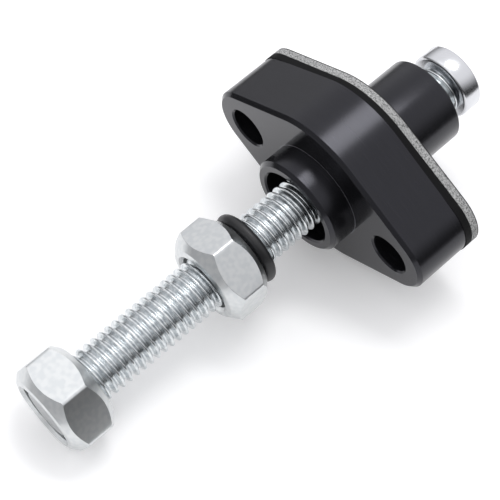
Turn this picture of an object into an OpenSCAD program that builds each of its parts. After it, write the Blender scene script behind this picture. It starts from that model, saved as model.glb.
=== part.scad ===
// Manual cam chain tensioner: a black anodised housing with a diamond flange, a pair
// of gaskets, and a threaded adjuster with a fixed head nut, a lock nut and a thrust foot.
//
// +X runs along the screw into the engine. The origin is the point where the screw's
// axis crosses the mounting plane, the engine side of the fibre gasket. The flange's
// long way lies along Y.

/* [Housing] */
// Distance between the two flange bolt holes
bolt_spacing = 28.8; // [27:0.2:31]
// Diameter of the two flange bolt holes
bolt_hole_d = 6.2; // [6:0.1:6.8]
// Radius of each flange ear
ear_radius = 6.1; // [5.6:0.1:6.6]
// Radius of the flange's broad middle
waist_radius = 13.3; // [12.6:0.1:13.8]
// Flange thickness
flange_thickness = 9; // [7:0.5:11]
// Chamfer round the flange's front edge
flange_chamfer = 0.55; // [0.2:0.05:0.8]
// Front boss diameter
boss_d = 15.6; // [15:0.1:16.4]
// Front boss length
boss_length = 4.25; // [3.5:0.25:6]
// Chamfer on the boss's front edge
boss_chamfer = 0.55; // [0.3:0.05:0.8]
// Counterbore diameter, which takes the seal ring
counterbore_d = 12; // [11.6:0.1:12.6]
// Counterbore depth
counterbore_depth = 5; // [3:0.5:8]
// Spigot diameter, the part that enters the engine
spigot_d = 13.8; // [13.4:0.1:14.2]
// Length of spigot past the mounting plane
spigot_length = 10.8; // [9:0.2:12]
// Chamfer on the spigot's end
spigot_chamfer = 0.3; // [0.1:0.1:1]

/* [Gaskets] */
// Thickness of the black gasket against the flange
black_thickness = 1.15; // [0.8:0.05:1.5]
// Thickness of the fibre gasket against the engine
fibre_thickness = 1.25; // [0.8:0.05:1.5]
// Radius of the gaskets' broad middle
gasket_waist_radius = 12.9; // [12.4:0.1:13.4]
// Radius of each gasket ear
gasket_ear_radius = 6.2; // [5.8:0.1:6.6]

/* [Screw] */
// Outside diameter of the screw's thread
screw_d = 7.95; // [7.8:0.05:8]
// Length of screw from its open end to the foot
screw_length = 74.3; // [72:0.1:76]
// How far the screw's end lies inside the head nut
end_recess = 0.6; // [0.3:0.1:1.2]
// Chamfer on the screw's open end
screw_chamfer = 0.2; // [0.1:0.1:0.8]
// Diameter of the journal that the foot swivels on
journal_d = 5; // [4:0.1:5.6]
// Length of that journal
journal_length = 2.1; // [1.5:0.1:2.2]

/* [Nuts] */
// Width across flats of both nuts
across_flats = 13.4; // [13:0.1:13.6]
// Thickness of the head nut
head_nut_thickness = 7.5; // [6:0.1:8]
// Thickness of the lock nut
lock_nut_thickness = 7.1; // [6:0.1:8]
// Radius of the flat left on each nut face
nut_face_radius = 5.7; // [5.4:0.1:6.2]
// Slope of the nuts' corner chamfers
nut_chamfer_angle = 42; // [30:1:45]
// Mouth radius of the countersink in both nuts
nut_mouth_radius = 4.8; // [4.4:0.1:5]
// Turn of the head nut about the screw
head_nut_turn = 116; // [90:1:150]
// Turn of the lock nut about the screw
lock_nut_turn = 98; // [90:1:150]
// Space between the lock nut and the front boss
lock_nut_gap = 10.45; // [9:0.05:13]

/* [Seal ring and foot] */
// Thickness of the seal ring's round section
seal_section = 1.7; // [1.4:0.1:1.9]
// Space between the seal ring and the lock nut
seal_gap = 0.3; // [0:0.1:0.5]
// Diameter of the thrust foot
foot_d = 10.6; // [10.2:0.1:11]
// Thickness of the thrust foot
foot_thickness = 3.3; // [3:0.1:4]
// Chamfer on both edges of the foot
foot_chamfer = 0.3; // [0.1:0.05:0.5]
// Space between the spigot's end and the foot
foot_gap = 2.8; // [1:0.2:6]

/* [Hidden] */
$fn = 96;
// Radial room round everything that turns or slides
running_gap = 0.05;
// Radial room between the gaskets and the spigot
gasket_gap = 0.1;
// Play along the axis between the screw and the foot
foot_play = 0.05;
// Depth of the undercut at the spigot's root
root_relief = 0.3;
// Edge break on the bolt holes and the counterbore
edge_break = 0.25;
// Overlap that keeps cuts clear of the faces they leave
cut = 1;

gasket_stack = black_thickness + fibre_thickness;
flange_back = -gasket_stack;
flange_front = flange_back - flange_thickness;
boss_front = flange_front - boss_length;
bore_r = screw_d / 2 + running_gap;
lock_nut_back = boss_front - lock_nut_gap;
foot_back = spigot_length + foot_gap;
screw_back = foot_back - foot_play;
screw_front = screw_back - screw_length;
head_nut_front = screw_front - end_recess;
ear_offset = bolt_spacing / 2;
flank_angle = asin((waist_radius - ear_radius) / ear_offset);
flank_length = ear_offset * cos(flank_angle);

black = [0.07, 0.07, 0.08];
anodised = [0.16, 0.16, 0.17];
fibre = [0.45, 0.46, 0.47];
zinc = [0.76, 0.78, 0.8];
bright = [0.84, 0.85, 0.87];

// A cylinder along +X that starts at x
module rod(x, length, r1, r2 = undef) {
  translate([x, 0, 0])
    rotate([0, 90, 0])
      cylinder(h = length, r1 = r1, r2 = is_undef(r2) ? r1 : r2);
}

// A disc along +X whose front edge is chamfered
module chamfered_disc(x, length, r, chamfer) {
  rod(x, chamfer, r - chamfer, r);
  rod(x + chamfer, length - chamfer, r);
}

// Both ears of the flange, one at each bolt hole
module at_ears() {
  for (side = [-1, 1])
    translate([0, side * ear_offset, 0])
      children();
}

// The four straight flanks, each with its outward normal turned to +Z
module at_flanks() {
  for (end = [0, 1])
    mirror([0, end, 0])
      for (face = [0, 1])
        mirror([0, 0, face])
          rotate([-flank_angle, 0, 0])
            children();
}

// Six-sided block that the straight flanks of a diamond outline enclose
module diamond_core(x, length, waist, ear) {
  angle = asin((waist - ear) / ear_offset);
  inner = [waist * sin(angle), waist * cos(angle)];
  outer = [ear_offset + ear * sin(angle), ear * cos(angle)];
  right = [inner, outer, [outer.x, -outer.y], [inner.x, -inner.y]];
  left = [for (i = [3:-1:0]) [-right[i].x, right[i].y]];
  translate([x, 0, 0])
    rotate([90, 0, 90])
      linear_extrude(height = length)
        polygon(concat(right, left));
}

module flange() {
  difference() {
    union() {
      chamfered_disc(flange_front, flange_thickness, waist_radius, flange_chamfer);
      at_ears()
        chamfered_disc(flange_front, flange_thickness, ear_radius, flange_chamfer);
      diamond_core(flange_front, flange_thickness, waist_radius, ear_radius);
    }
    at_flanks()
      translate([flange_front, 0, waist_radius - flange_chamfer])
        rotate([0, -45, 0])
          translate([-cut, 0, 0])
            cube([2 * cut, flank_length, cut]);
  }
}

module body() {
  color(anodised)
  difference() {
    union() {
      flange();
      chamfered_disc(boss_front, boss_length + cut, boss_d / 2, boss_chamfer);
      rod(flange_back - cut, gasket_stack + cut, spigot_d / 2 - root_relief);
      rod(0, spigot_length - spigot_chamfer, spigot_d / 2);
      rod(spigot_length - spigot_chamfer, spigot_chamfer,
          spigot_d / 2, spigot_d / 2 - spigot_chamfer);
    }
    rod(boss_front - cut, spigot_length - boss_front + 2 * cut, bore_r);
    rod(boss_front, counterbore_depth, counterbore_d / 2);
    rod(boss_front - cut, edge_break + cut,
        counterbore_d / 2 + edge_break + cut, counterbore_d / 2);
    at_ears() {
      rod(flange_front - cut, flange_thickness + 2 * cut, bolt_hole_d / 2);
      rod(flange_front - cut, edge_break + cut,
          bolt_hole_d / 2 + edge_break + cut, bolt_hole_d / 2);
    }
  }
}

// A gasket with the flange's outline, holed for the bolts and the spigot
module gasket(x, thickness) {
  difference() {
    union() {
      rod(x, thickness, gasket_waist_radius);
      at_ears()
        rod(x, thickness, gasket_ear_radius);
      diamond_core(x, thickness, gasket_waist_radius, gasket_ear_radius);
    }
    rod(x - cut, thickness + 2 * cut, spigot_d / 2 + gasket_gap);
    at_ears()
      rod(x - cut, thickness + 2 * cut, bolt_hole_d / 2);
  }
}

module gasket_black() {
  color(black)
    gasket(flange_back, black_thickness);
}

module gasket_fibre() {
  color(fibre)
    gasket(-fibre_thickness, fibre_thickness);
}

module screw() {
  color(zinc) {
    chamfered_disc(screw_front, screw_length, screw_d / 2, screw_chamfer);
    rod(screw_back - cut, journal_length + cut, journal_d / 2);
  }
}

// Hexagon nut along +X, chamfered on both faces and countersunk at both mouths
module hex_nut(x, thickness, turn, bore) {
  cone_r = nut_face_radius + thickness / tan(nut_chamfer_angle);
  mouth = nut_mouth_radius - bore;
  difference() {
    intersection() {
      translate([x, 0, 0])
        rotate([turn, 0, 0])
          rotate([90, 0, 90])
            cylinder(h = thickness, r = across_flats / sqrt(3), $fn = 6);
      rod(x, thickness, nut_face_radius, cone_r);
      rod(x, thickness, cone_r, nut_face_radius);
    }
    rod(x - cut, thickness + 2 * cut, bore);
    rod(x - cut, mouth + cut, nut_mouth_radius + cut, bore);
    rod(x + thickness - mouth, mouth + cut, bore, nut_mouth_radius + cut);
  }
}

module head_nut() {
  color(zinc)
    hex_nut(head_nut_front, head_nut_thickness, head_nut_turn, screw_d / 2);
}

module lock_nut() {
  color(zinc)
    hex_nut(lock_nut_back - lock_nut_thickness, lock_nut_thickness, lock_nut_turn, bore_r);
}

module seal_ring() {
  color(black)
    translate([lock_nut_back + seal_gap + seal_section / 2, 0, 0])
      rotate([0, 90, 0])
        rotate_extrude()
          translate([bore_r + seal_section / 2, 0])
            circle(d = seal_section);
}

module foot() {
  socket_depth = journal_length + running_gap;
  color(bright)
  difference() {
    union() {
      chamfered_disc(foot_back, foot_thickness - foot_chamfer, foot_d / 2, foot_chamfer);
      rod(foot_back + foot_thickness - foot_chamfer, foot_chamfer,
          foot_d / 2, foot_d / 2 - foot_chamfer);
    }
    rod(foot_back - cut, socket_depth + cut, journal_d / 2 + running_gap);
  }
}

body();
gasket_black();
gasket_fibre();
screw();
head_nut();
lock_nut();
seal_ring();
foot();
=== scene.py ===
"""Looks for the manual cam chain tensioner: an anodised housing with two gaskets, and a
zinc-plated adjuster screw with a head nut, a lock nut, a seal ring and a thrust foot.

All pieces lie along X, with the engine at +X. Lengths are in millimetres until MM turns
them into metres, and places along X are worked out from the CAD nodes' own ends."""

import math

import bpy
from mathutils import Matrix, Quaternion, Vector


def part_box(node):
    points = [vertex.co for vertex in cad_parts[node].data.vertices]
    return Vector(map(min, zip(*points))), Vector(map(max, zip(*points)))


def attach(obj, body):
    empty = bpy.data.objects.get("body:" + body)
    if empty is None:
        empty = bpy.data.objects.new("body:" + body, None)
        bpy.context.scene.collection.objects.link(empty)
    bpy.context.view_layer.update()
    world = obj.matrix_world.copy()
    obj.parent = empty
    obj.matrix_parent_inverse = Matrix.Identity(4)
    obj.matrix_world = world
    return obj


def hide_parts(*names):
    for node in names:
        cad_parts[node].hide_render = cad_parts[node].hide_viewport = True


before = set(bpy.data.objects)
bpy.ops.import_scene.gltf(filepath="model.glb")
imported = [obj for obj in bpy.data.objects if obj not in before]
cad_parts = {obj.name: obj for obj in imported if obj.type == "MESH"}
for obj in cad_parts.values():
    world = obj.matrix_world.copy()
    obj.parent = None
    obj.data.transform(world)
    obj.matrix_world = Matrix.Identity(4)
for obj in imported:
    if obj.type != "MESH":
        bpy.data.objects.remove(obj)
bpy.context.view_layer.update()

MM = 0.001
ROUND = 128

# How far a cutter stands out of what it cuts
OUT = 1

CAMERA_AT = Vector((-87.2, -78.68, 185.971)) * MM
CAMERA_TURN = Quaternion((0.901645, 0.233428, -0.071651, -0.356951))
CAMERA_LENS = 109.287
FLOOR_UP = Vector((0.1382, 0.0674, 0.9881)).normalized()
FLOOR_AT = Vector((-10.85, -0.905, -13.269)) * MM


def ends(name):
    """Where a CAD node starts and ends along X, in mm."""
    return [round(corner.x / MM, 3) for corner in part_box(name)]


BOSS_FRONT, SPIGOT_END = ends("body")
FLANGE_BACK, BLACK_BACK = ends("gasket_black")
FIBRE_BACK = ends("gasket_fibre")[1]
THREAD_START = ends("screw")[0]
HEAD_FRONT, HEAD_BACK = ends("head_nut")
LOCK_FRONT, LOCK_BACK = ends("lock_nut")
FOOT_FRONT, FOOT_BACK = ends("foot")


# Camera

bpy.ops.object.camera_add(location=CAMERA_AT)
camera = bpy.context.object
camera.name = "camera"
camera.rotation_mode = "QUATERNION"
camera.rotation_quaternion = CAMERA_TURN
camera.data.lens = CAMERA_LENS
camera.data.sensor_width = 36
camera.data.clip_start = 10 * MM
bpy.context.scene.camera = camera


# Modelling


def start(add, **settings):
    """Adds one primitive with nothing else selected, and returns it."""
    bpy.ops.object.select_all(action="DESELECT")
    add(**settings)
    return bpy.context.object


def activate(piece):
    """Makes one piece the only selected one."""
    bpy.ops.object.select_all(action="DESELECT")
    piece.select_set(True)
    bpy.context.view_layer.objects.active = piece


def edit(piece):
    """Opens one piece in edit mode."""
    activate(piece)
    bpy.ops.object.mode_set(mode="EDIT")
    bpy.ops.mesh.select_mode(type="VERT")


def pick(piece, kind, test):
    """In edit mode, selects the edges or faces whose every corner passes the test, in mm."""
    bpy.ops.mesh.select_all(action="DESELECT")
    bpy.ops.object.mode_set(mode="OBJECT")
    mesh = piece.data
    for item in mesh.edges if kind == "EDGE" else mesh.polygons:
        item.select = all(test(mesh.vertices[i].co / MM) for i in item.vertices)
    bpy.ops.object.mode_set(mode="EDIT")
    bpy.ops.mesh.select_mode(type=kind)


def soften(piece, test, width, steps):
    """Bevels the edges that pass the test."""
    edit(piece)
    bpy.ops.mesh.select_mode(type="EDGE")
    pick(piece, "EDGE", test)
    bpy.ops.mesh.bevel(offset=width * MM, segments=steps, affect="EDGES", profile=0.5)
    bpy.ops.object.mode_set(mode="OBJECT")


def cylinder(x, length, radius, y=0.0, sides=ROUND):
    """A cylinder along X that starts at x."""
    return start(
        bpy.ops.mesh.primitive_cylinder_add,
        vertices=sides,
        radius=radius * MM,
        depth=length * MM,
        location=((x + length / 2) * MM, y * MM, 0),
        rotation=(0, math.pi / 2, 0),
    )


def turned(points, steps=ROUND, pitch=0.0, turns=1):
    """A profile of (x, radius) points, extruded point by point, then turned round X.
    With a pitch it becomes a right-hand screw thread of that many turns."""
    piece = start(bpy.ops.mesh.primitive_plane_add, size=MM)
    edit(piece)
    bpy.ops.mesh.select_all(action="SELECT")
    bpy.ops.mesh.merge(type="CENTER")
    bpy.ops.transform.translate(value=(points[0][0] * MM, points[0][1] * MM, 0))
    for (x0, r0), (x1, r1) in zip(points, points[1:]):
        bpy.ops.mesh.extrude_vertices_move(
            TRANSFORM_OT_translate={"value": ((x1 - x0) * MM, (r1 - r0) * MM, 0)}
        )
    bpy.ops.object.mode_set(mode="OBJECT")
    screw = piece.modifiers.new("turn", "SCREW")
    screw.axis = "X"
    screw.steps = steps
    screw.render_steps = steps
    screw.screw_offset = pitch * MM
    screw.iterations = turns
    screw.use_merge_vertices = True
    screw.merge_threshold = 1e-7
    bpy.ops.object.modifier_apply(modifier="turn")
    edit(piece)
    bpy.ops.mesh.select_all(action="SELECT")
    bpy.ops.mesh.remove_doubles(threshold=0.002 * MM)
    bpy.ops.mesh.normals_make_consistent(inside=False)
    bpy.ops.object.mode_set(mode="OBJECT")
    return piece


def combine(piece, tools, how):
    """Adds, cuts or keeps the shared part with each tool, which is then removed."""
    for tool in tools:
        activate(piece)
        cut = piece.modifiers.new("cut", "BOOLEAN")
        cut.operation = how
        cut.solver = "EXACT"
        cut.object = tool
        bpy.ops.object.modifier_apply(modifier="cut")
        bpy.data.objects.remove(tool)


def smooth(piece, degrees):
    """Shades the edges that turn less than this as one surface."""
    activate(piece)
    bpy.ops.object.shade_smooth_by_angle(angle=math.radians(degrees))


def ease(piece, width):
    """Rounds every edge that turns more than 25 degrees, and keeps the flats flat."""
    activate(piece)
    edge = piece.modifiers.new("edge", "BEVEL")
    edge.width = width * MM
    edge.segments = 2
    edge.limit_method = "ANGLE"
    edge.angle_limit = math.radians(25)
    edge.harden_normals = True
    bpy.ops.object.modifier_apply(modifier="edge")


def place(piece):
    """Puts the piece's place into its mesh."""
    activate(piece)
    bpy.ops.object.transform_apply(location=True, rotation=True, scale=True)
    return piece


# Materials


def linear(hex_colour):
    """sRGB hex to linear colour."""
    channels = [int(hex_colour[i : i + 2], 16) / 255 for i in (0, 2, 4)]
    return tuple(
        c / 12.92 if c <= 0.04045 else ((c + 0.055) / 1.055) ** 2.4 for c in channels
    ) + (1.0,)


def per_mm(size, stretch=(1, 1, 1)):
    """The scale at which a noise has grains of this size in mm, longer where the stretch
    is small."""
    return [axis / (size * MM) for axis in stretch]


def node(tree, kind, sockets, **settings):
    """Adds a node with its settings, gives each socket a value or a link, and returns
    the node's outputs. A socket that shares its name goes by its number: on Mix, 0 is
    the factor, 2 and 3 are its numbers, 6 and 7 its colours, and 2 is the colour out."""
    made = tree.nodes.new("ShaderNode" + kind)
    for name, setting in settings.items():
        setattr(made, name, setting)
    for socket, source in sockets.items():
        if isinstance(source, bpy.types.NodeSocket):
            tree.links.new(source, made.inputs[socket])
        else:
            made.inputs[socket].default_value = source
    return made.outputs


def finish_of(name, sockets):
    """A new material: its tree, its shader's sockets and the coordinates on the piece."""
    material = bpy.data.materials.new(name)
    material.use_nodes = True
    tree = material.node_tree
    shader = tree.nodes["Principled BSDF"].inputs
    for socket, setting in sockets.items():
        shader[socket].default_value = setting
    return material, tree, shader, node(tree, "TexCoord", {})


def anodised_finish():
    """Machined 6082 bar, black anodised: the cutter's rings stay in the dark film, so
    lamps smear into bands across the sides, and the flat front still mirrors the boss."""
    material, tree, shader, coords = finish_of(
        "machined_aluminium_black_anodised",
        {"Specular IOR Level": 0.42, "Specular Tint": linear("f2f2ff")},
    )
    spot = node(tree, "SeparateXYZ", {"Vector": coords["Object"]})
    facing = node(tree, "SeparateXYZ", {"Vector": coords["Normal"]})
    turned_away = node(tree, "Math", {0: facing["X"]}, operation="ABSOLUTE")[0]
    on_face = node(
        tree, "MapRange", {"Value": turned_away, "From Min": 0.6, "From Max": 0.8}
    )[0]
    on_side = node(tree, "Math", {0: 1.0, 1: on_face}, operation="SUBTRACT")[0]
    off_axis = node(
        tree, "VectorMath", {0: coords["Object"], 1: (0, 1, 1)}, operation="MULTIPLY"
    )["Vector"]
    radius = node(tree, "VectorMath", {0: off_axis}, operation="LENGTH")["Value"]

    # The cutter ran round the axis: its marks lie along X on the sides, and from the
    # middle outwards on the faces.
    across_marks = node(tree, "Mix", {0: on_face, 2: spot["X"], 3: radius})[0]
    marks_at = node(tree, "CombineXYZ", {"X": across_marks})["Vector"]
    marks_at = node(
        tree, "Mapping", {"Vector": marks_at, "Scale": per_mm(0.22, (1, 0, 0))}
    )["Vector"]
    marks = node(tree, "TexNoise", {"Vector": marks_at, "Scale": 1.0, "Detail": 3.0})["Fac"]
    streaks_at = node(
        tree,
        "Mapping",
        {"Vector": coords["Object"], "Scale": per_mm(0.16, (1, 0.03, 0.03))},
    )["Vector"]
    streaks = node(tree, "TexNoise", {"Vector": streaks_at, "Scale": 1.0})["Fac"]

    smear = node(tree, "MapRange", {"Value": on_side, "To Min": 0.1, "To Max": 0.2})[0]
    roughness = node(tree, "Math", {0: marks, 1: 0.08, 2: smear}, operation="MULTIPLY_ADD")
    tree.links.new(roughness[0], shader["Roughness"])

    ridges = node(tree, "Math", {0: streaks, 1: 0.4, 2: marks}, operation="MULTIPLY_ADD")[0]
    ridges = node(tree, "Math", {0: ridges, 1: on_side}, operation="MULTIPLY")[0]
    bump = node(tree, "Bump", {"Height": ridges, "Strength": 1.0, "Distance": 0.0021 * MM})
    tree.links.new(bump[0], shader["Normal"])

    worn = node(tree, "MapRange", {"Value": streaks, "From Min": 0.5, "From Max": 0.85})[0]
    film = node(
        tree,
        "Mix",
        {0: worn, 6: linear("131315"), 7: linear("1f1f22")},
        data_type="RGBA",
    )[2]

    # A thin pale grey line is painted on the front face round the boss's foot.
    by_boss = node(
        tree, "Math", {0: radius, 1: (BOSS_R + 0.07) * MM, 2: 0.06 * MM}, operation="COMPARE"
    )[0]
    at_front = node(
        tree, "Math", {0: spot["X"], 1: FLANGE_FRONT * MM, 2: 0.05 * MM}, operation="COMPARE"
    )[0]
    painted_line = node(tree, "Math", {0: by_boss, 1: at_front}, operation="MULTIPLY")[0]
    # The painted pale grey line is mixed over the film here.
    colour = node(tree, "Mix", {0: painted_line, 6: film, 7: linear("77777c")}, data_type="RGBA")[2]
    tree.links.new(colour, shader["Base Color"])
    return material


def rubber_finish():
    """Nitrile rubber, moulded: near black with a satin skin."""
    material, tree, shader, coords = finish_of(
        "nitrile_rubber_black", {"Base Color": linear("1c1c1e"), "Roughness": 0.42}
    )
    skin_at = node(tree, "Mapping", {"Vector": coords["Object"], "Scale": per_mm(0.5)})[0]
    skin = node(tree, "TexNoise", {"Vector": skin_at, "Scale": 1.0})["Fac"]
    bump = node(tree, "Bump", {"Height": skin, "Strength": 1.0, "Distance": 0.01 * MM})
    tree.links.new(bump[0], shader["Normal"])
    return material


def coated_gasket_finish():
    """Coated gasket sheet, die cut: black with a dull, slightly torn edge."""
    material, tree, shader, coords = finish_of(
        "coated_gasket_black",
        {"Base Color": linear("151516"), "Roughness": 0.7, "Specular IOR Level": 0.12},
    )
    tears_at = node(
        tree,
        "Mapping",
        {"Vector": coords["Object"], "Scale": per_mm(0.3, (0.4, 1, 1))},
    )["Vector"]
    tears = node(tree, "TexNoise", {"Vector": tears_at, "Scale": 1.0})["Fac"]
    bump = node(tree, "Bump", {"Height": tears, "Strength": 1.0, "Distance": 0.03 * MM})
    tree.links.new(bump[0], shader["Normal"])
    return material


def fibre_gasket_finish():
    """Compressed fibre sheet: grey, speckled where the shears cut through the fibres,
    with a dark skin on the engine side."""
    material, tree, shader, coords = finish_of(
        "compressed_fibre_gasket_grey", {"Roughness": 0.85}
    )
    speckle_at = node(
        tree,
        "Mapping",
        {"Vector": coords["Object"], "Scale": per_mm(0.14, (1, 0.6, 0.6))},
    )["Vector"]
    speckle = node(
        tree, "TexNoise", {"Vector": speckle_at, "Scale": 1.0, "Detail": 3.0}
    )["Fac"]
    pale = node(tree, "MapRange", {"Value": speckle, "From Min": 0.36, "From Max": 0.6})[0]
    fibres = node(
        tree,
        "Mix",
        {0: pale, 6: linear("565757"), 7: linear("c0c0bf")},
        data_type="RGBA",
    )[2]
    spot = node(tree, "SeparateXYZ", {"Vector": coords["Object"]})
    skin = node(
        tree,
        "MapRange",
        {"Value": spot["X"], "From Min": -0.16 * MM, "From Max": -0.12 * MM},
    )[0]
    colour = node(
        tree, "Mix", {0: skin, 6: fibres, 7: linear("1c1c1d")}, data_type="RGBA"
    )[2]
    tree.links.new(colour, shader["Base Color"])
    bump = node(tree, "Bump", {"Height": speckle, "Strength": 1.0, "Distance": 0.04 * MM})
    tree.links.new(bump[0], shader["Normal"])
    return material


def rolled_thread_finish():
    """Rolled thread in bright zinc: the dies burnish it, so the crests glint."""
    material, tree, shader, coords = finish_of(
        "rolled_thread_bright_zinc", {"Metallic": 1.0, "Roughness": 0.24}
    )
    cloud_at = node(tree, "Mapping", {"Vector": coords["Object"], "Scale": per_mm(0.8)})[0]
    cloud = node(tree, "TexNoise", {"Vector": cloud_at, "Scale": 1.0})["Fac"]
    bright = node(tree, "MapRange", {"Value": cloud, "From Min": 0.35, "From Max": 0.65})[0]
    colour = node(
        tree,
        "Mix",
        {0: bright, 6: linear("c2c7ca"), 7: linear("e3e6e7")},
        data_type="RGBA",
    )[2]
    tree.links.new(colour, shader["Base Color"])
    drag_at = node(
        tree,
        "Mapping",
        {"Vector": coords["Object"], "Scale": per_mm(0.12, (1, 0.2, 0.2))},
    )["Vector"]
    drag = node(tree, "TexNoise", {"Vector": drag_at, "Scale": 1.0})["Fac"]
    bump = node(tree, "Bump", {"Height": drag, "Strength": 1.0, "Distance": 0.006 * MM})
    tree.links.new(bump[0], shader["Normal"])
    return material


def plated_nut_finish():
    """Forged nuts, zinc plated: the plating leaves the flats satin and faintly mottled."""
    material, tree, shader, coords = finish_of(
        "forged_nut_zinc_plated", {"Metallic": 1.0, "Roughness": 0.3}
    )
    mottle_at = node(tree, "Mapping", {"Vector": coords["Object"], "Scale": per_mm(0.7)})[0]
    mottle = node(tree, "TexNoise", {"Vector": mottle_at, "Scale": 1.0, "Detail": 0.0})["Fac"]
    pale = node(tree, "MapRange", {"Value": mottle, "From Min": 0.35, "From Max": 0.65})[0]
    colour = node(
        tree,
        "Mix",
        {0: pale, 6: linear("cdd0d1"), 7: linear("d6d8d8")},
        data_type="RGBA",
    )[2]
    tree.links.new(colour, shader["Base Color"])
    return material


def turned_steel_finish():
    """Free-cutting steel, finish turned and polished: the brightest piece."""
    material, tree, shader, coords = finish_of(
        "turned_steel_bright",
        {"Base Color": linear("d6d7da"), "Metallic": 1.0, "Roughness": 0.22},
    )
    rings_at = node(
        tree, "Mapping", {"Vector": coords["Object"], "Scale": per_mm(0.15, (1, 0, 0))}
    )["Vector"]
    rings = node(tree, "TexNoise", {"Vector": rings_at, "Scale": 1.0})["Fac"]
    bump = node(tree, "Bump", {"Height": rings, "Strength": 1.0, "Distance": 0.002 * MM})
    tree.links.new(bump[0], shader["Normal"])
    return material


def sawn_steel_finish():
    """The screw's sawn end, left unplated: greyer and duller than the plated thread."""
    material, tree, shader, coords = finish_of(
        "sawn_steel_end",
        {"Base Color": linear("b2b4b5"), "Metallic": 1.0, "Roughness": 0.38},
    )
    kerf_at = node(
        tree, "Mapping", {"Vector": coords["Object"], "Scale": per_mm(0.3, (1, 0.2, 1))}
    )["Vector"]
    kerf = node(tree, "TexNoise", {"Vector": kerf_at, "Scale": 1.0})["Fac"]
    bump = node(tree, "Bump", {"Height": kerf, "Strength": 1.0, "Distance": 0.004 * MM})
    tree.links.new(bump[0], shader["Normal"])
    return material


def dress(piece, name, material, body, replaced):
    """Gives a finished piece its name, material and body, and hides the CAD node it stands
    for.
    """
    piece.name = name
    piece.data.materials.clear()
    piece.data.materials.append(material)
    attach(piece, body)
    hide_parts(replaced)


# Housing

FLANGE_LENGTH = 9.0
FLANGE_FRONT = FLANGE_BACK - FLANGE_LENGTH
FLANGE_CHAMFER = 0.54
WAIST_R = 13.3
EAR_R = 6.1
BOLT_Y = 14.4
BOLT_HOLE_R = 3.1
BOSS_R = 7.8
BOSS_CHAMFER = 0.55
SPIGOT_R = 6.9
BORE_R = 4.025
COUNTERBORE_R = 6.0
COUNTERBORE_DEPTH = 5
EDGE_BREAK = 0.25


def diamond(x, length, waist, ear):
    """The flange's outline: one broad and two small cylinders wrapped in a hull."""
    broad = cylinder(x, length, waist, sides=192)
    small = [cylinder(x, length, ear, y, sides=96) for y in (-BOLT_Y, BOLT_Y)]
    bpy.ops.object.select_all(action="DESELECT")
    for part in [*small, broad]:
        part.select_set(True)
    bpy.context.view_layer.objects.active = broad
    bpy.ops.object.join()
    place(broad)
    edit(broad)
    bpy.ops.mesh.select_all(action="SELECT")
    bpy.ops.mesh.convex_hull()
    bpy.ops.mesh.select_all(action="SELECT")
    bpy.ops.mesh.dissolve_limited(angle_limit=math.radians(0.1))
    bpy.ops.object.mode_set(mode="OBJECT")
    return broad


def mouth(x, radius):
    """The front of a drill's profile, which breaks the edge of the hole it makes."""
    return [
        (x - OUT, 0),
        (x - OUT, radius + EDGE_BREAK + OUT),
        (x + EDGE_BREAK, radius),
    ]


housing = diamond(FLANGE_FRONT, FLANGE_LENGTH, WAIST_R, EAR_R)
soften(housing, lambda p: p.x < FLANGE_FRONT + 0.01, FLANGE_CHAMFER, 1)
boss = turned(
    [
        (FLANGE_FRONT + OUT, 0),
        (FLANGE_FRONT + OUT, BOSS_R),
        (BOSS_FRONT + BOSS_CHAMFER, BOSS_R),
        (BOSS_FRONT, BOSS_R - BOSS_CHAMFER),
        (BOSS_FRONT, 0),
    ]
)
spigot = turned(
    [
        (FLANGE_BACK - OUT, 0),
        (FLANGE_BACK - OUT, SPIGOT_R),
        (SPIGOT_END - 0.36, SPIGOT_R),
        (SPIGOT_END - 0.24, SPIGOT_R - 0.03),
        (SPIGOT_END - 0.08, SPIGOT_R - 0.17),
        (SPIGOT_END - 0.02, SPIGOT_R - 0.28),
        (SPIGOT_END, SPIGOT_R - 0.4),
        (SPIGOT_END, 0),
    ]
)
combine(housing, [boss, spigot], "UNION")
bore = turned(
    [
        *mouth(BOSS_FRONT, COUNTERBORE_R),
        (BOSS_FRONT + COUNTERBORE_DEPTH, COUNTERBORE_R),
        (BOSS_FRONT + COUNTERBORE_DEPTH, BORE_R),
        (SPIGOT_END + OUT, BORE_R),
        (SPIGOT_END + OUT, 0),
    ]
)
combine(housing, [bore], "DIFFERENCE")
for y in (-BOLT_Y, BOLT_Y):
    drill = turned([*mouth(FLANGE_FRONT, BOLT_HOLE_R), (OUT, BOLT_HOLE_R), (OUT, 0)], steps=64)
    drill.location.y = y * MM
    combine(housing, [place(drill)], "DIFFERENCE")
smooth(housing, 20)
ease(housing, 0.06)
dress(housing, "housing", anodised_finish(), "housing", "body")


# Gaskets

GASKET_WAIST_R = 12.9
GASKET_EAR_R = 6.2
GASKET_HOLE_R = 7.0

for name, front, back, finish, node_name in (
    ("black_gasket", FLANGE_BACK, BLACK_BACK, coated_gasket_finish, "gasket_black"),
    ("fibre_gasket", BLACK_BACK, FIBRE_BACK, fibre_gasket_finish, "gasket_fibre"),
):
    thickness = back - front
    gasket = diamond(front, thickness, GASKET_WAIST_R, GASKET_EAR_R)
    holes = [cylinder(front - OUT, thickness + 2 * OUT, GASKET_HOLE_R)]
    for y in (-BOLT_Y, BOLT_Y):
        holes.append(cylinder(front - OUT, thickness + 2 * OUT, BOLT_HOLE_R, y, 64))
    combine(gasket, [place(hole) for hole in holes], "DIFFERENCE")
    smooth(gasket, 32)
    dress(gasket, name, finish(), "housing", node_name)


# Screw

PITCH = 1.25
CREST_R = 3.975
ROOT_R = 3.24
END_R = 3.75
THREAD_END = FOOT_FRONT - 0.05

# A crest of the thread as the photograph shows it: along X, and in degrees round from +Y
CREST_X = -52.325
CREST_TURN = 22.93

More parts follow.
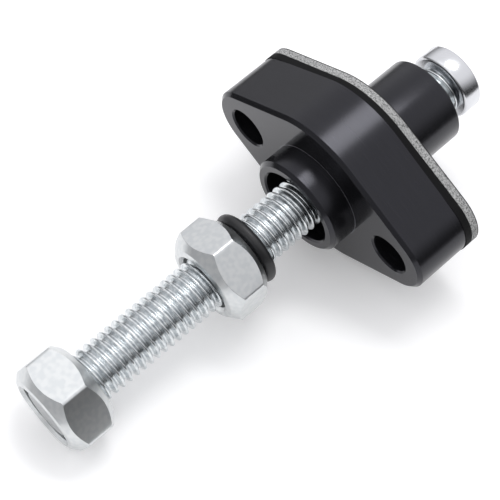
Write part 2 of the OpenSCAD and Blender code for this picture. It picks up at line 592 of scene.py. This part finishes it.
# Half a rolled 60 degree thread: steps along from the root's middle, and height in
# parts of the thread's depth, with root and crest rounded
FLANK = (
    (0.0, 0.0),
    (0.10, 0.015),
    (0.17, 0.10),
    (0.24, 0.27),
    (0.40, 0.74),
    (0.46, 0.90),
    (0.52, 0.98),
)

rising = [(x - PITCH / 2, h) for x, h in FLANK]
falling = [(-x, h) for x, h in reversed(rising)]
crest_at = CREST_X - PITCH * CREST_TURN / 360
turns_before = math.ceil((crest_at - THREAD_START) / PITCH) + 1
turn_count = math.ceil((THREAD_END - THREAD_START) / PITCH) + 3
first_crest = crest_at - turns_before * PITCH
screw = turned(
    [
        (first_crest + x, ROOT_R + (CREST_R - ROOT_R) * h)
        for x, h in [*rising, (0.0, 1.0), *falling]
    ],
    60,
    PITCH,
    turn_count,
)
for x, normal in ((THREAD_START, (-1, 0, 0)), (THREAD_END, (1, 0, 0))):
    edit(screw)
    bpy.ops.mesh.select_all(action="SELECT")
    bpy.ops.mesh.bisect(
        plane_co=(x * MM, 0, 0), plane_no=normal, clear_outer=True, use_fill=True
    )
    bpy.ops.object.mode_set(mode="OBJECT")
smooth(screw, 50)
dress(screw, "threaded_screw", rolled_thread_finish(), "adjuster", "screw")

# The sawn face stands this far in front of the thread's cap, so that it alone shows
FACE_OUT = 0.15

sawn_end = turned(
    [
        (THREAD_START - FACE_OUT, 0),
        (THREAD_START - FACE_OUT, END_R - FACE_OUT),
        (THREAD_START, END_R),
        (THREAD_START + 0.5, END_R),
        (THREAD_START + 0.5, 0),
    ]
)
smooth(sawn_end, 40)
dress(sawn_end, "sawn_end", sawn_steel_finish(), "adjuster", "screw")


# Nuts

ACROSS_FLATS = 13.4
CORNER_WIDTH = 0.4
NUT_MOUTH_R = 4.8
HEAD_MOUTH_R = 5.05
HEAD_TURN = 116.1
LOCK_TURN = 97.8
CONE_SLOPE = math.tan(math.radians(42))

# The nut's face from the middle out to its cone: depth from the face, and radius
NUT_FACE = ((0, 0), (0, 5.1), (0.04, 5.45), (0.17, 5.8), (0.17 + 2 * CONE_SLOPE, 7.8))


def hex_nut(front, back, turn, bore_r, front_mouth_r=NUT_MOUTH_R):
    """A forged hexagon nut: rounded corners, both faces turned to cones and countersunk,
    and every edge eased."""
    nut = place(cylinder(front, back - front, ACROSS_FLATS / math.sqrt(3), sides=6))
    edit(nut)
    bpy.ops.mesh.select_all(action="SELECT")
    bpy.ops.transform.rotate(
        value=-math.radians(turn), orient_axis="X", center_override=(0, 0, 0)
    )
    bpy.ops.object.mode_set(mode="OBJECT")
    soften(nut, lambda p: True, CORNER_WIDTH, 4)
    front_face = [(front + depth, r) for depth, r in NUT_FACE]
    back_face = [(back - depth, r) for depth, r in reversed(NUT_FACE)]
    combine(nut, [turned(front_face + back_face)], "INTERSECT")
    hole = turned(
        [
            (front - OUT, 0),
            (front - OUT, front_mouth_r + OUT),
            (front + 0.45, front_mouth_r - 0.45),
            (front + 1.5, front_mouth_r - 0.5),
            (front + 1.8, bore_r),
            (back - NUT_MOUTH_R + bore_r, bore_r),
            (back + OUT, NUT_MOUTH_R + OUT),
            (back + OUT, 0),
        ]
    )
    combine(nut, [hole], "DIFFERENCE")
    smooth(nut, 20)
    ease(nut, 0.1)
    return nut


zinc_nut = plated_nut_finish()
head_nut = hex_nut(HEAD_FRONT, HEAD_BACK, HEAD_TURN, CREST_R, HEAD_MOUTH_R)
dress(head_nut, "plated_head_nut", zinc_nut, "adjuster", "head_nut")
lock_nut = hex_nut(LOCK_FRONT, LOCK_BACK, LOCK_TURN, BORE_R)
dress(lock_nut, "plated_lock_nut", zinc_nut, "locker", "lock_nut")


# Seal ring: moulded round, with the side towards the lock nut pressed flat

SEAL_R = 0.85
SEAL_GAP = 0.3
SEAL_FLAT = 0.06

seal_ring = start(
    bpy.ops.mesh.primitive_torus_add,
    major_segments=128,
    minor_segments=24,
    major_radius=(BORE_R + SEAL_R) * MM,
    minor_radius=SEAL_R * MM,
    location=((LOCK_BACK + SEAL_GAP + SEAL_R) * MM, 0, 0),
    rotation=(0, math.pi / 2, 0),
)
place(seal_ring)
edit(seal_ring)
pick(seal_ring, "FACE", lambda p: p.x < LOCK_BACK + SEAL_GAP + SEAL_FLAT)
bpy.ops.transform.resize(value=(0, 1, 1))
bpy.ops.object.mode_set(mode="OBJECT")
smooth(seal_ring, 60)
dress(seal_ring, "rubber_seal_ring", rubber_finish(), "seal", "seal_ring")


# Foot

FOOT_R = 5.3
SOCKET_R = 2.55
SOCKET_DEPTH = 2.2

foot = turned(
    [
        (FOOT_FRONT + SOCKET_DEPTH, 0),
        (FOOT_FRONT + SOCKET_DEPTH, SOCKET_R - 0.05),
        (FOOT_FRONT + SOCKET_DEPTH - 0.05, SOCKET_R),
        (FOOT_FRONT, SOCKET_R),
        (FOOT_FRONT, FOOT_R - 0.5),
        (FOOT_FRONT, FOOT_R - 0.35),
        (FOOT_FRONT + 0.06, FOOT_R - 0.23),
        (FOOT_FRONT + 0.22, FOOT_R - 0.05),
        (FOOT_FRONT + 0.34, FOOT_R),
        (FOOT_BACK - 0.34, FOOT_R),
        (FOOT_BACK - 0.22, FOOT_R - 0.05),
        (FOOT_BACK - 0.06, FOOT_R - 0.21),
        (FOOT_BACK, FOOT_R - 0.35),
        (FOOT_BACK, FOOT_R - 0.5),
        (FOOT_BACK, 0),
    ]
)
smooth(foot, 32)
dress(foot, "turned_foot", turned_steel_finish(), "thrust", "foot")


# Floor

FLOOR_SIZE = 160
FLOOR_AWAY = 15
FLOOR_LEFT = 5
VIEW = (CAMERA_AT - FLOOR_AT).normalized()
TOWARDS = (VIEW - FLOOR_UP * VIEW.dot(FLOOR_UP)).normalized()
RIGHT = FLOOR_UP.cross(TOWARDS)

floor = start(bpy.ops.mesh.primitive_plane_add, size=FLOOR_SIZE * MM)
floor.matrix_world = (
    Matrix.Translation(FLOOR_AT - TOWARDS * FLOOR_AWAY * MM - RIGHT * FLOOR_LEFT * MM)
    @ Matrix((RIGHT, -TOWARDS, FLOOR_UP)).transposed().to_4x4()
)
floor.name = "floor"

# White paper, matt: it glows a little for the camera and in mirrors, so it stays white.
paper, tree, shader, _ = finish_of(
    "white_paper_floor",
    {
        "Base Color": linear("f6f6f6"),
        "Roughness": 0.9,
        "Specular IOR Level": 0.1,
        "Emission Color": linear("ffffff"),
    },
)
path = node(tree, "LightPath", {})
mirrored = node(
    tree,
    "Math",
    {0: path["Is Glossy Ray"], 1: path["Is Transmission Ray"]},
    operation="MAXIMUM",
)[0]
seen = node(tree, "Math", {0: path["Is Camera Ray"], 1: mirrored}, operation="MAXIMUM")[0]
lift = node(tree, "Math", {0: seen, 1: 0.2}, operation="MULTIPLY")[0]
tree.links.new(lift, shader["Emission Strength"])
floor.data.materials.append(paper)


# World: white overhead, dark at the horizon, with a pale wall at the near left

world = bpy.data.worlds.new("studio")
bpy.context.scene.world = world
world.use_nodes = True
tree = world.node_tree
sky = tree.nodes["Background"].inputs
sight = node(tree, "TexCoord", {})["Generated"]
height = node(
    tree,
    "VectorMath",
    {0: sight, 1: FLOOR_UP - TOWARDS * 0.33 + RIGHT * 0.1},
    operation="DOT_PRODUCT",
)["Value"]
overhead = node(
    tree,
    "MapRange",
    {"Value": height, "From Min": -0.1, "From Max": 0.7, "To Min": 0.03, "To Max": 1.03},
    interpolation_type="SMOOTHSTEP",
)[0]
leftwards = node(
    tree,
    "VectorMath",
    {0: sight, 1: (TOWARDS * 0.65 - RIGHT * 0.75).normalized()},
    operation="DOT_PRODUCT",
)["Value"]
left_wall = node(
    tree,
    "MapRange",
    {"Value": leftwards, "From Min": 0.45, "From Max": 0.95, "To Min": 0.0, "To Max": 0.52},
    interpolation_type="SMOOTHSTEP",
)[0]
level = node(tree, "Math", {0: overhead, 1: left_wall}, operation="MAXIMUM")[0]
tree.links.new(level, sky["Strength"])
sky["Color"].default_value = linear("fcfcff")


# Lamps


def lamp(name, spot, size, power):
    """A soft rectangular lamp that faces the object."""
    bpy.ops.object.light_add(type="AREA", location=spot)
    light = bpy.context.object
    light.name = name
    light.data.shape = "RECTANGLE"
    light.data.size, light.data.size_y = size
    light.data.energy = power
    light.rotation_mode = "QUATERNION"
    light.rotation_quaternion = (-spot).to_track_quat("-Z", "Y")


lamp("top_strip", Vector((0.24, 0.07, 0.58)), (0.3, 0.15), 1.02)
lamp("front_fill", TOWARDS * 0.4 + FLOOR_UP * 0.6 - RIGHT * 0.1, (0.4, 0.4), 0.25)
lamp("side_card", Vector((0.03, 0.33, 0.5)), (0.2, 0.2), 0.05)

bpy.context.scene.view_settings.view_transform = "Standard"
